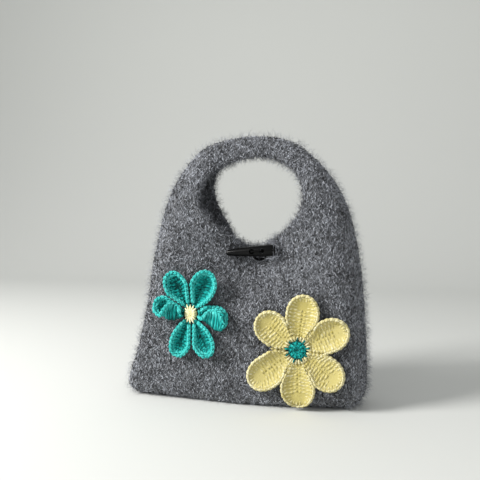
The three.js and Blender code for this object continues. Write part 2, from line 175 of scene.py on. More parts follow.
def smooth_copy(node):
    """A merged copy of a solid's mesh, with its triangles joined in fours and shaded smooth."""
    bm = bmesh.new()
    bm.from_mesh(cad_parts[node].data)
    bmesh.ops.remove_doubles(bm, verts=bm.verts, dist=MERGED)
    bmesh.ops.join_triangles(
        bm,
        faces=bm.faces,
        angle_face_threshold=JOINED_BEND,
        angle_shape_threshold=JOINED_SKEW,
    )
    for face in bm.faces:
        face.smooth = True
    mesh = bpy.data.meshes.new(node)
    bm.to_mesh(mesh)
    bm.free()
    return mesh


def knit_material():
    material, surface, shade = new_material("grey_knit", Roughness=0.95, Sheen_Weight=0.3)
    place = shade.node("ShaderNodeTexCoord", {}, {}, "Object")
    x, z = (
        shade.node("ShaderNodeSeparateXYZ", {}, {"Vector": place}, axis) for axis in ("X", "Z")
    )
    column = (x / STITCH_WIDTH).math("FRACT")
    from_middle = (column - 0.5).math("ABSOLUTE") * 2
    leg = (z / STITCH_HEIGHT + from_middle * LEG_LEAN) * (2 * math.pi)
    relief = leg.math("SINE") * LEG_RELIEF + (1 - from_middle * from_middle) * COLUMN_RELIEF
    fleck = shade.node(
        "ShaderNodeTexNoise", {}, {"Vector": place, "Scale": 1 / FLECK, "Detail": 2}
    )
    # The relief also paints the tone: the grooves between legs and columns are painted darker, as
    # painted shade.
    tone = fleck * FLECK_CONTRAST - FLECK_DARKER + relief * RELIEF_PAINTED_SHADE
    colour = tone.ramp((0.15, KNIT_DARK), (0.5, KNIT_MID), (0.9, KNIT_LIGHT))
    link(colour, surface, "Base Color")
    link(bump(shade, relief + fleck * FLECK_RELIEF, STITCH_DEPTH), surface, "Normal")
    return material


skin = own_piece(
    "knit_skin", smooth_copy("knit_body"), knit_material(), "knit_body"
)
rounding = skin.modifiers.new("rounding", "SUBSURF")
rounding.levels = 1
rounding.render_levels = 1

# Hairs: the brushed wool that stands out of the knit, short curled hairs of mixed dark, mid
# and light grey that lie along its stitches. A few fine long ones make the soft outline, more
# of them stand round the mouth's rim, and some grow round the toggle's right end.
HAIR_SEED = 7
HAIRS = 60000
WHISKERS = 18000
RIM_HAIRS = 2800
TOGGLE_HAIRS = 420
SHORT_HAIRS = {
    "length": (3.4, 5.6),
    "rise": (15, 60),
    "fall": (-30, 15),
    "curl": 0.8,
    "girth": (0.3, 0.44),
    "taper": (0.8, 1.0, 0.0),
}
LOOSE_HAIRS = {
    "fine_hairs": {
        "length": (8, 15),
        "rise": (40, 85),
        "fall": (-10, 55),
        "curl": 2.4,
        "girth": (0.06, 0.11),
        "taper": (1, 0.9, 0),
        "tones": (0.4, 0.9),
    },
    "rim_hairs": {
        "length": (6, 13),
        "rise": (30, 85),
        "fall": (-40, 40),
        "curl": 3,
        "girth": (0.07, 0.13),
        "taper": (1, 1, 0.8, 0),
        "tones": (0.1, 0.9),
    },
    "toggle_hairs": {
        "length": (15, 21),
        "rise": (75, 95),
        "fall": (-25, 15),
        "curl": 1.2,
        "girth": (0.13, 0.22),
        "taper": (1, 1, 0.9, 0),
        "tones": (0.4, 0.78),
    },
}
DARK_BELOW = 0.3
MID_BELOW = 0.56
DARK_TONES = (0, 0.06)
MID_TONES = (0.5, 0.68)
LIGHT_TONES = (0.68, 0.88)
DARK_RISE = 15
DARK_GIRTH = 1.25
ROOT_DEPTH = 0.4 * MM
RIM_REACH = 66 * MM
RIM_FACES = 0.75
TOGGLE_HAIRS_REACH = 16 * MM
TOGGLE_HAIRS_FROM = 2 * MM
TOGGLE_HAIRS_SPREAD = 0.5
TOGGLE_OVERGROWN = 8 * MM
TOGGLE_ROOM = 0.5 * MM
LEG_SLANT = math.radians(24)
LEG_SPREAD = math.radians(18)
STRAY_SHARE = 0.25
EDGE_BIAS = 0.8
PATCH = np.array((8, 11, 10, 13)) * MM
PATCH_WANDER = 1.5
PATCH_STRENGTH = 0.17
MOUTH_MIDDLE = np.array((13.5, 212)) * MM
MOUTH_FADE = 20 * MM
INSIDE_REACH = 92 * MM
CAVITY_DEPTH = 75 * MM
INSIDE_SHARE = 0.6
HANDLE_FROM = 205 * MM
FRONT_FACES = 0.3
FLOOR_ROOM = 0.7 * MM
COVER_REACH = 40 * MM
HOLES_HALF = 4 * MM
CHART_EDGE = 0.02
CHART_WIDE = 0.96
CHART_LONG = 0.94
CHART_STRIP = 0.012
HAIR_TONES = (
    (0.0, (0.008, 0.0085, 0.0105, 1)),
    (0.3, (0.044, 0.0465, 0.055, 1)),
    (0.6, (0.2, 0.21, 0.24, 1)),
    (1.0, (0.8, 0.835, 0.92, 1)),
)
# How dark the painted shade at a hair's root is, and how far along the hair it reaches.
ROOT_PAINTED_SHADE = 0.5
ROOT_PAINTED_SHADE_TO = 0.6

random = np.random.default_rng(HAIR_SEED)


def unit(vectors):
    return vectors / np.maximum(np.linalg.norm(vectors, axis=-1, keepdims=True), 1e-12)


def strands(paths, girths, beside, sides, pointed=False):
    """Closed round strands along rows of points, with their corners' shares along and around.

    paths is strands by points by 3, girths is the radius at each point, and beside is a way
    across each strand at each point.
    """
    count, points = paths.shape[:2]
    rings = points - 1 if pointed else points
    run = unit(np.gradient(paths, axis=1))
    up = unit(np.cross(run, beside))
    across = np.cross(up, run)
    turns = 2 * np.pi * np.arange(sides) / sides
    ring = (
        np.cos(turns)[:, None] * across[:, :rings, None]
        + np.sin(turns)[:, None] * up[:, :rings, None]
    )
    corners = paths[:, :rings, None] + girths[:, :rings, None, None] * ring
    corners = corners.reshape(count, rings * sides, 3)
    faces = [
        [(j, i), (j + 1, i), (j + 1, i + 1), (j, i + 1)]
        for j in range(rings - 1)
        for i in range(sides)
    ]
    faces.append([(0, i) for i in range(sides)])
    if pointed:
        corners = np.concatenate([corners, paths[:, -1:]], axis=1)
        faces += [[(rings - 1, i), (rings, i), (rings - 1, i + 1)] for i in range(sides)]
    else:
        faces.append([(rings - 1, i) for i in reversed(range(sides))])
    number = {(j, i): j * sides + i % sides for j in range(rings) for i in range(sides + 1)}
    number |= {(rings, i): rings * sides for i in range(sides)}
    places = [place for face in faces for place in face]
    one = np.array([number[place] for place in places])
    share = np.array([(j / (points - 1), i / sides) for j, i in places])
    return {
        "corners": corners.reshape(-1, 3),
        "loops": (one + corners.shape[1] * np.arange(count)[:, None]).ravel(),
        "sizes": np.tile([len(face) for face in faces], count),
        "share": np.tile(share, (count, 1, 1)),
        "per_strand": corners.shape[1],
    }


def joined(name, sets):
    """One mesh of several sets of strands or sheets."""
    mesh = bpy.data.meshes.new(name)
    first = np.cumsum([0] + [len(part["corners"]) for part in sets])
    corners = np.concatenate([part["corners"] for part in sets])
    loops = np.concatenate([part["loops"] + start for part, start in zip(sets, first)])
    sizes = np.concatenate([part["sizes"] for part in sets])
    mesh.vertices.add(len(corners))
    mesh.vertices.foreach_set("co", corners.astype(np.float32).ravel())
    mesh.loops.add(len(loops))
    mesh.loops.foreach_set("vertex_index", loops.astype(np.int32))
    mesh.polygons.add(len(sizes))
    mesh.polygons.foreach_set("loop_start", (np.cumsum(sizes) - sizes).astype(np.int32))
    mesh.polygons.foreach_set("use_smooth", np.ones(len(sizes), bool))
    mesh.update(calc_edges=True)
    mesh.validate()
    return mesh


def skin_faces():
    """The skin's triangles as it finally is: corners, corner normals, and which look inward."""
    shaped = skin.evaluated_get(bpy.context.evaluated_depsgraph_get()).to_mesh()
    shaped.calc_loop_triangles()
    places = np.empty(len(shaped.vertices) * 3, np.float32)
    normals = np.empty(len(shaped.vertices) * 3, np.float32)
    corners = np.empty(len(shaped.loop_triangles) * 3, np.int32)
    shaped.vertices.foreach_get("co", places)
    shaped.vertex_normals.foreach_get("vector", normals)
    shaped.loop_triangles.foreach_get("vertices", corners)
    corners = corners.reshape(-1, 3)
    triangles = places.reshape(-1, 3)[corners].astype(float)
    corner_normals = normals.reshape(-1, 3)[corners].astype(float)
    tree = BVHTree.FromPolygons(places.reshape(-1, 3).tolist(), corners.tolist())
    inward = np.zeros(len(triangles), bool)
    for i, (middle, out) in enumerate(zip(triangles.mean(1), unit(corner_normals.mean(1)))):
        start = Vector(middle + out * MM)
        inward[i] = tree.ray_cast(start, Vector(out), CAVITY_DEPTH)[0] is not None
    return triangles, corner_normals, inward


def solids_tree(names):
    """The faces of some solids, to find what a line meets."""
    corners, faces = [], []
    for name in names:
        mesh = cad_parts[name].data
        start = len(corners)
        corners += [v.co for v in mesh.vertices]
        faces += [[start + i for i in face.vertices] for face in mesh.polygons]
    return BVHTree.FromPolygons(corners, faces)


def lies_on_front(name):
    return "petal" in name or "centre" in name or name == "toggle"


def covered(roots):
    """Which places of the front lie under a flower or the toggle, or behind the toggle's holes."""
    tree = solids_tree(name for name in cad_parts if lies_on_front(name))
    ahead = Vector((0, -1, 0))
    under = [tree.ray_cast(Vector(root), ahead, COVER_REACH)[0] is not None for root in roots]
    low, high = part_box("toggle")
    behind = (roots[:, 0] > low[0]) & (roots[:, 0] < high[0])
    behind &= abs(roots[:, 2] - (low[2] + high[2]) / 2) < HOLES_HALF
    return np.array(under) | behind


def clear_of_toggle(paths):
    """Which hairs pass beside the toggle or over it, and not into it."""
    tree = solids_tree(["toggle"])
    clear = np.ones(len(paths), bool)
    for i, path in enumerate(paths):
        for start, end in zip(path, path[1:]):
            way = Vector(end - start)
            clear[i] &= tree.find_nearest(Vector(end))[3] > TOGGLE_ROOM
            clear[i] &= tree.ray_cast(Vector(start), way.normalized(), way.length)[0] is None
    return clear


def scatter(count, triangles, normals, weights):
    """Random places on the skin, evenly by area and weight."""
    edges = triangles[:, 1:] - triangles[:, :1]
    area = np.linalg.norm(np.cross(edges[:, 0], edges[:, 1]), axis=1) * weights
    chosen = random.choice(len(area), count, p=area / area.sum())
    a, b = random.random((2, count))
    over = a + b > 1
    a[over], b[over] = 1 - a[over], 1 - b[over]
    shares = np.stack([1 - a - b, a, b], axis=1)[:, :, None]
    return (triangles[chosen] * shares).sum(1), unit((normals[chosen] * shares).sum(1)), chosen


def stitch_headings(roots):
    """The way that each hair lies: along the left or right leg of its stitch, or any way."""
    count = len(roots)
    leg = np.where(roots[:, 0] / STITCH_WIDTH % 1 < 0.5, LEG_SLANT, -LEG_SLANT)
    along = leg + random.normal(0, LEG_SPREAD, count) + np.pi * random.integers(0, 2, count)
    any_way = random.uniform(0, 2 * np.pi, count)
    return np.where(random.random(count) < STRAY_SHARE, any_way, along)


def hair_paths(kind, roots, normals, heading, steeper=0):
    """Curved hairs of a kind: each leaves its root at its rise and ends at its fall."""
    count, points = len(roots), len(kind["taper"])
    length = random.uniform(*kind["length"], count) * MM
    rise = np.radians(random.uniform(*kind["rise"], count) + steeper)
    fall = np.radians(random.uniform(*kind["fall"], count))
    curl = random.uniform(-kind["curl"], kind["curl"], count)
    sideways = np.where(abs(normals[:, :1]) < 0.8, [[1, 0, 0]], [[0, 1, 0]])
    any_way = unit(np.cross(normals, sideways))
    other_way = np.cross(normals, any_way)
    paths = [roots - normals * ROOT_DEPTH]
    for step in range(points - 1):
        share = (step + 0.5) / (points - 1)
        turn = heading + curl * (share - 0.5)
        tilt = rise + (fall - rise) * share
        flat = np.cos(turn)[:, None] * any_way + np.sin(turn)[:, None] * other_way
        way = np.cos(tilt)[:, None] * flat + np.sin(tilt)[:, None] * normals
        paths.append(paths[-1] + way * (length / (points - 1))[:, None])
    paths = np.stack(paths, axis=1)
    paths[:, :, 2] = np.maximum(paths[:, :, 2], FLOOR_ROOM)
    return paths


def hair_material():
    material, surface, shade = new_material("brushed_wool", Roughness=0.9, Sheen_Weight=0.2)
    uv = shade.node("ShaderNodeUVMap", {"uv_map": "OFBake"}, {})
    tone, along = (
        shade.node("ShaderNodeSeparateXYZ", {}, {"Vector": uv}, axis) for axis in ("X", "Y")
    )
    colour = tone.ramp(*HAIR_TONES)
    # Each hair is painted darker towards its root, as painted shade down among the hairs.
    root = along.ramp((0, (ROOT_PAINTED_SHADE,) * 3 + (1,)), (ROOT_PAINTED_SHADE_TO, (1, 1, 1, 1)))
    mixed = shade.node(
        "ShaderNodeMix",
        {"data_type": "RGBA", "blend_type": "MULTIPLY"},
        {0: 1.0, 6: colour, 7: root},
        2,
    )
    link(mixed, surface, "Base Color")
    return material


def hair_piece(name, paths, girths, tones):
    """Hairs as one piece, each painted from its own strip of the tone chart."""
    normals = np.broadcast_to(unit(random.normal(size=(len(paths), 1, 3))), paths.shape)
    made = strands(paths, girths, normals, 3, pointed=True)
    mesh = joined(name, [made])
    share = made["share"]
    across = CHART_EDGE + CHART_WIDE * tones[:, None] + CHART_STRIP * (share[:, :, 1] - 0.5)
    along = CHART_EDGE + CHART_LONG * share[:, :, 0] + CHART_STRIP * share[:, :, 1]
    uv = np.stack([across, along], axis=2)
    mesh.uv_layers.new(name="OFBake").data.foreach_set("uv", uv.astype(np.float32).ravel())
    own_piece(name, mesh, wool)


def loose_hairs(name, paths):
    kind = LOOSE_HAIRS[name]
    girths = random.uniform(*kind["girth"], len(paths))[:, None] * MM * np.array(kind["taper"])
    hair_piece(name, paths, girths, random.uniform(*kind["tones"], len(paths)))


def brushed(roots):
    """How far each place is brushed to the dark, in soft uneven patches."""
    x, z = roots[:, 0], roots[:, 2]
    turn = x / PATCH[0] + PATCH_WANDER * np.sin(z / PATCH[1])
    other_turn = z / PATCH[2] + PATCH_WANDER * np.sin(x / PATCH[3])
    return np.sin(turn) * np.sin(other_turn)


def hair_tones(roots):
    """Mixed tones: dark, mid and light hairs, with more dark ones in some patches."""
    count = len(roots)
    kind = random.random(count) - PATCH_STRENGTH * brushed(roots)
    return np.select(
        [kind < DARK_BELOW, kind < MID_BELOW],
        [random.uniform(*DARK_TONES, count), random.uniform(*MID_TONES, count)],
        random.uniform(*LIGHT_TONES, count),
    )


wool = hair_material()
skin_triangles, skin_normals, looks_inward = skin_faces()
middles = skin_triangles.mean(1)
from_mouth = np.linalg.norm(middles[:, [0, 2]] - MOUTH_MIDDLE, axis=1)
near_mouth = np.clip((INSIDE_REACH - from_mouth) / MOUTH_FADE, 0, 1)
growth = np.where(looks_inward, INSIDE_SHARE * near_mouth, 1.0)

roots, normals, chosen = scatter(HAIRS, skin_triangles, skin_normals, growth)
bare = covered(roots) & (normals[:, 1] < 0)
roots, normals, chosen = roots[~bare], normals[~bare], chosen[~bare]
inside = looks_inward[chosen]
tones = hair_tones(roots)
dark = tones < MID_TONES[0]
steeper = np.where(dark, DARK_RISE, 0)
paths = hair_paths(SHORT_HAIRS, roots, normals, stitch_headings(roots), steeper)
girth = random.uniform(*SHORT_HAIRS["girth"], len(roots)) * np.where(dark, DARK_GIRTH, 1) * MM
girths = girth[:, None] * np.array(SHORT_HAIRS["taper"])
on_handle = (roots[:, 2] > HANDLE_FROM) & ~inside
on_front = (normals[:, 1] < -FRONT_FACES) & ~on_handle & ~inside
on_back = (normals[:, 1] > FRONT_FACES) & ~on_handle & ~inside
regions = {
    "front_hairs": on_front,
    "back_hairs": on_back,
    "handle_hairs": on_handle,
    "side_hairs": ~(inside | on_handle | on_front | on_back),
    "mouth_hairs": inside,
}
for name, chosen_hairs in regions.items():
    hair_piece(name, paths[chosen_hairs], girths[chosen_hairs], tones[chosen_hairs])

faces_out = abs(unit(skin_normals.mean(1))[:, 1])
at_edges = growth * (1 - EDGE_BIAS * faces_out)
roots, normals, _ = scatter(WHISKERS, skin_triangles, skin_normals, at_edges)
bare = covered(roots) & (normals[:, 1] < 0)
roots, normals = roots[~bare], normals[~bare]
headings = random.uniform(0, 2 * np.pi, len(roots))
loose_hairs("fine_hairs", hair_paths(LOOSE_HAIRS["fine_hairs"], roots, normals, headings))

on_rim = (from_mouth < RIM_REACH) & (faces_out < RIM_FACES)
roots, normals, _ = scatter(RIM_HAIRS, skin_triangles, skin_normals, on_rim)
headings = random.uniform(0, 2 * np.pi, len(roots))
loose_hairs("rim_hairs", hair_paths(LOOSE_HAIRS["rim_hairs"], roots, normals, headings))

low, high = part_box("toggle")
toggle_end = np.array((high[0] - TOGGLE_OVERGROWN, (low[2] + high[2]) / 2))
from_end = np.linalg.norm(toggle_end - middles[:, [0, 2]], axis=1)
beside_end = (from_end < TOGGLE_HAIRS_REACH) & (middles[:, 0] > high[0] - TOGGLE_HAIRS_FROM)
beside_end &= (skin_normals.mean(1)[:, 1] < -FRONT_FACES) & ~looks_inward
roots, normals, _ = scatter(TOGGLE_HAIRS, skin_triangles, skin_normals, beside_end)
bare = covered(roots)
roots, normals = roots[~bare], normals[~bare]
to_end = toggle_end - roots[:, [0, 2]]
headings = np.arctan2(-to_end[:, 0], to_end[:, 1])
headings = headings + random.normal(0, TOGGLE_HAIRS_SPREAD, len(roots))
paths = hair_paths(LOOSE_HAIRS["toggle_hairs"], roots, normals, headings)
loose_hairs("toggle_hairs", paths[clear_of_toggle(paths)])

# Petals: cotton crochet, worked round a middle row as upright stitches, with a chain of
# stitches round the rim. Each lies where its solid does, cupped or folded as that is, and is
# sewn down under the flower's middle.
PANEL_GAP = 1.2 * MM
PIECE_ROOM = 0.5 * MM
PETAL_THICK = 3.2 * MM
PETAL_WIDEST = 0.6
PETAL_BEND = (0.15, 0.85)
PETAL_CREASE = (0.25, 0.5)
PETAL_BEND_R = 1.9 * MM
PETAL_FOLDED = math.radians(100)
PETAL_DROOP = 0.6
PETAL_SEED = 11
WIDEST_GAP = 150
CLOTH_STEPS = 36
BACKING_ROWS = np.linspace(0, 0.97, 13)
BACKING_COLUMNS = np.linspace(-0.95, 0.95, 19)
RIM_EASE = 0.1
RIM_STEPS = 40
RIM_INNER = (0.97, 0.85)
RIM_CHAINS = (
    {"inset": 0.9, "lift": 0.75, "way": 1, "girth": 1.3},
    {"inset": 0.9, "lift": -0.75, "way": -1, "girth": 1.25},
)
RIDGE_CHAIN = {"inset": 3.4, "lift": 1.3, "way": -1, "girth": 1.2}
RIB_PITCH = 3.8 * MM
RIB_INSET = 1.6 * MM
RIB_POINTS = 9
RIB_GIRTH = 1.4 * MM
RIB_FILL = 0.42
RIB_TWIST = 1.3
RIB_PLY = 0.4
RIB_WAVES = 3
ROOT_GIRTH = 0.85 * MM
ROOT_ASIDE = 0.7 * MM
ROOT_LAST = 0.8
ROOT_LEAN = 0.93
FINEST_RIB = 0.3 * MM
BASE_TURNS = np.radians((-22, -7.5, 7.5, 22))
BASE_TONE = 0.78
SEAM = np.array((11.5, 15.5, 19.5, 23.5, 27.5))
SEAM_TONE = 0.5
STRAND_SIDES = 6
LOBE_SHAPE = np.array((0.4, 0.88, 1.0, 0.88, 0.4))
SPOKE_BULGE = 0.6 * MM
FADE_MIDDLE = 0.6
TONE_SPREAD = 0.09
PLY_ALONG = 3
PLY_AROUND = 2
PLY_PAINTED_SHADE = 0.14
PLY_RELIEF = 0.5
FLUFF_SCALE = 900
FLUFF_TONE = 0.3
YARN_RELIEF = 0.25 * MM


def cloth(wide, turn, tip_wide=None, tip_turn=None, changes=(0.3, 0.65)):
    """One side of a petal: its width, how far it turns up, and the same near the petal's tip."""
    wides = np.array((wide, tip_wide or wide)) * MM
    return {"wides": wides, "turns": np.radians((turn, tip_turn or turn)), "changes": changes}


FLOWERS = {
    "teal": {
        "place": (-47.7, 93.5),
        "centre_r": 7.2,
        "base_share": 0.36,
        "dark": (0.0004, 0.02, 0.02, 1),
        "mid": (0.006, 0.37, 0.345, 1),
        "light": (0.1, 0.61, 0.57, 1),
        "between": 1.3 * MM,
        "backing": 1.4 * MM,
        "uneven": 0.3,
        "rim": {
            "from": 0.08,
            "pitch": 4.4 * MM,
            "bulge": 0.3 * MM,
            "slant": 1.1 * MM,
            "lap": (0.53, 0.66),
        },
        "chains": (*RIM_CHAINS, RIDGE_CHAIN),
        "tones": {"backing": 0.14, "ribs": 0.5, "painted_shade_inward": 0.5, "rim": 0.74},
        "petals": (
            {"turn": 117, "reach": 49, "rise": 8, "left": cloth(16, 68), "right": cloth(15.5, 68)},
            {"turn": 66, "reach": 49.5, "rise": 8, "left": cloth(16, 68), "right": cloth(18.5, 60)},
            {
                "turn": -4,
                "reach": 41,
                "rise": 4,
                "left": cloth(15, 50, 11, 20, (0.2, 0.45)),
                "right": cloth(23, 112, 43, 172, (0.2, 0.42)),
            },
            {"turn": -61.5, "reach": 48.5, "rise": 7, "left": cloth(14.5, 66), "right": cloth(14.5, 66)},
            {"turn": -108, "reach": 46.5, "rise": 7, "left": cloth(14.5, 66), "right": cloth(14, 66)},
            {
                "turn": 169,
                "reach": 42,
                "rise": 5,
                "left": cloth(36, 172, 15, 70, (0.4, 0.75)),
                "right": cloth(15, 55),
            },
        ),
    },
    "yellow": {
        "place": (67, 61.5),
        "centre_r": 10.4,
        "base_share": 0.75,
        "dark": (0.4, 0.33, 0.06, 1),
        "mid": (0.53, 0.46, 0.185, 1),
        "light": (0.72, 0.675, 0.45, 1),
        "between": 0.2 * MM,
        "backing": 2.2 * MM,
        "uneven": 0.12,
        "rim": {
            "from": 0.28,
            "pitch": 5 * MM,
            "bulge": 0.9 * MM,
            "slant": 0.5 * MM,
            "lap": (0.6, 0.75),
        },
        "chains": RIM_CHAINS,
        "tones": {"backing": 0.46, "ribs": 0.55, "painted_shade_inward": 0.2, "rim": 0.74},
        "petals": (
            {"turn": 82, "reach": 56, "rise": 4, "left": cloth(17, 32), "right": cloth(17, 32)},
            {"turn": 27, "reach": 56, "rise": 4, "left": cloth(17, 36), "right": cloth(17, 36)},
            {"turn": -36, "reach": 55, "rise": 4, "left": cloth(17, 32), "right": cloth(17, 32)},
            {"turn": -88, "reach": 57, "rise": 4, "left": cloth(17.5, 32), "right": cloth(17.5, 32)},
            {"turn": -143, "reach": 60, "rise": 4, "left": cloth(17, 32), "right": cloth(17, 32)},
            {"turn": 141, "reach": 52, "rise": 4, "left": cloth(17, 36), "right": cloth(17, 36)},
        ),
    },
}

random = np.random.default_rng(PETAL_SEED)
panel_tree = solids_tree(["knit_body"])


def panel_depth(x, z):
    """How far back the front panel's face is at places seen from the front."""
    ahead = Vector((0, 1, 0))
    depths = [
        panel_tree.ray_cast(Vector((a, -1, b)), ahead)[0] for a, b in zip(x.ravel(), z.ravel())
    ]
    return np.array([hit.y if hit else 0.0 for hit in depths]).reshape(x.shape)


def laid(flower, turn, along, across, height):
    """Places on the front panel: out from a flower's middle, to the left of that, and forward."""
    x = flower["place"][0] * MM + along * math.cos(turn) - across * math.sin(turn)
    z = flower["place"][1] * MM + along * math.sin(turn) + across * math.cos(turn)
    middle = panel_depth(*(np.array([value * MM]) for value in flower["place"]))
    face = panel_depth(x, z)
    eased = np.minimum(face, middle + PETAL_DROOP * (face - middle))
    return np.stack([x, eased - PANEL_GAP - height, z], axis=-1)


def petal_tip(share):
    return np.clip((share - PETAL_WIDEST) / (1 - PETAL_WIDEST), 0, 1)


def petal_width(flower, share):
    swell = np.sin(np.clip(share / PETAL_WIDEST, 0, 1) * np.pi / 2)
    base = flower["base_share"]
    return (base + (1 - base) * swell) * np.sqrt(1 - petal_tip(share) ** 2)


def smooth_step(value, low, high):
    past = np.clip((value - low) / (high - low), 0, 1)
    return past**2 * (3 - 2 * past)


def cloth_at(side, share):
    """A side's width and turn at shares of its petal's length."""
    change = smooth_step(share, *side["changes"])
    return [side[key][0] + (side[key][1] - side[key][0]) * change for key in ("wides", "turns")]


def petal_start(flower):
    return flower["centre_r"] * MM + PIECE_ROOM


def room_beside(flower, petal, side, along):
    """How wide a petal may be on one side, so that it stays clear of the next one."""
    turns = [(other["turn"] - petal["turn"]) * side % 360 for other in flower["petals"]]
    half_turn = min([turn for turn in turns if turn] + [WIDEST_GAP]) / 2
    return along * math.tan(math.radians(half_turn)) - flower["between"]


def seam_turn(flower, petal):
    """The way out midway between a petal and the next one to its left."""
    turns = [(other["turn"] - petal["turn"]) % 360 for other in flower["petals"]]
    return math.radians(petal["turn"] + min(turn for turn in turns if turn) / 2)


def side_of_row(flower, side, share, across, room):
    """Places on one side's cloth, out from the middle line and up, as it turns up to its rim."""
    wide, asked = cloth_at(side, share)
    width = wide * petal_width(flower, share)
    bend = PETAL_CREASE if side["turns"].max() > PETAL_FOLDED else PETAL_BEND
    turned = np.minimum(asked, (bend[1] - bend[0]) * width / PETAL_BEND_R)
    steps = (np.arange(CLOTH_STEPS) + 0.5) / CLOTH_STEPS
    turn = turned[..., None] * smooth_step(steps, *bend)
    step = (width / CLOTH_STEPS)[..., None]
    start = np.zeros(share.shape + (1,))
    out = np.concatenate([start, np.cumsum(np.cos(turn) * step, -1)], -1)
    up = np.concatenate([start, np.cumsum(np.sin(turn) * step, -1)], -1)
    clear = room - PETAL_THICK / 2 * np.sin(np.minimum(turned, np.pi / 2))
    fit = np.minimum(1, clear / np.maximum(out.max(-1), FINEST_RIB))[..., None]
    out, up = out * fit, up * fit
    spot = np.abs(across) * CLOTH_STEPS
    before = np.minimum(spot.astype(int), CLOTH_STEPS - 1)[..., None]
    past = spot[..., None] - before
    here, there = ([np.take_along_axis(v, i, -1) for v in (out, up)] for i in (before, before + 1))
    return [(a * (1 - past) + b * past)[..., 0] for a, b in zip(here, there)]


def petal_face(flower, petal, share, across):
    """Places on a petal's middle face, by shares of its length and of its cloth's width."""
    start = petal_start(flower)
    along = start + (petal["reach"] * MM - start) * share
    room = room_beside(flower, petal, 1, along)
    left, left_up = side_of_row(flower, petal["left"], share, across, room)
    room = room_beside(flower, petal, -1, along)
    right, right_up = side_of_row(flower, petal["right"], share, across, room)
    on_left = across >= 0
    up = np.where(on_left, left_up, right_up) + petal["rise"] * MM * petal_tip(share) ** 2
    beside = np.where(on_left, left, -right)
    return laid(flower, math.radians(petal["turn"]), along, beside, up + PETAL_THICK / 2)


def cloth_width(flower, petal, share, across):
    left, right = (cloth_at(petal[side], share)[0] for side in ("left", "right"))
    wide = np.where(across >= 0, left, right)
    return np.maximum(wide * petal_width(flower, share), FINEST_RIB)


def petal_rim(flower, petal, inset, pitch):
    """Evenly spaced stitches round a petal, set in from its rim: shares of length and width.

    Near its base a petal has no rim of its own, and its stitches meet those of the next one.
    """
    quarter = np.linspace(0, np.pi / 2, RIM_STEPS)
    one_side = np.concatenate([
        np.linspace(0, PETAL_WIDEST, RIM_STEPS)[:-1],
        PETAL_WIDEST + (1 - PETAL_WIDEST) * np.sin(quarter),
    ])
    share = np.concatenate([one_side, one_side[-2::-1]])
    side = np.concatenate([np.ones(len(one_side)), -np.ones(len(one_side) - 1)])
    length = petal["reach"] * MM - petal_start(flower)
    rim_from = flower["rim"]["from"]
    inset = inset * smooth_step(share, rim_from - RIM_EASE, rim_from + RIM_EASE)
    inner = share * (1 - inset / length)
    wide = cloth_width(flower, petal, share, side)
    full = wide / np.maximum(petal_width(flower, share), FINEST_RIB)
    narrower = petal_width(flower, share) / petal_width(flower, inner)
    across = np.clip(narrower * (1 - inset / full), 0, 1) * side
    points = petal_face(flower, petal, inner, across)
    travelled = np.concatenate([[0], np.cumsum(np.linalg.norm(np.diff(points, axis=0), axis=1))])
    count = round(travelled[-1] / pitch)
    stops = (np.arange(count) + 0.5) / count * travelled[-1]
    return np.interp(stops, travelled, inner), np.interp(stops, travelled, across)


def sheet(points, thick):
    """A closed sheet of cloth over a grid of points."""
    rows, columns = points.shape[:2]
    down, across = np.gradient(points, axis=0), np.gradient(points, axis=1)
    out = unit(np.cross(down, across)) * thick / 2
    corners = np.concatenate([(points + out).reshape(-1, 3), (points - out).reshape(-1, 3)])
    spot = np.arange(rows * columns).reshape(rows, columns)
    quads = np.stack([spot[:-1, :-1], spot[1:, :-1], spot[1:, 1:], spot[:-1, 1:]], -1)
    quads = quads.reshape(-1, 4)
    edge = np.concatenate([spot[0, :-1], spot[:-1, -1], spot[-1, :0:-1], spot[:0:-1, 0]])
    after = np.roll(edge, -1)
    under = rows * columns
    sides = np.stack([edge, after, after + under, edge + under], -1)
    faces = np.concatenate([quads, quads[:, ::-1] + under, sides])
    return {
        "corners": corners,
        "loops": faces.ravel(),
        "sizes": np.full(len(faces), 4),
        "share": np.zeros((1, faces.size, 2)),
    }


def lobes(starts, ends, bulge, girth, beside):
    """Fat short stitches between pairs of places, each bulging a little to one side."""
    shares = np.linspace(0, 1, len(LOBE_SHAPE))[None, :, None]
    paths = starts[:, None] + (ends - starts)[:, None] * shares
    paths = paths + bulge[:, None] * np.sin(shares * np.pi)
    girths = girth * LOBE_SHAPE * np.ones((len(starts), 1))
    return strands(paths, girths, np.broadcast_to(beside[:, None], paths.shape), STRAND_SIDES)


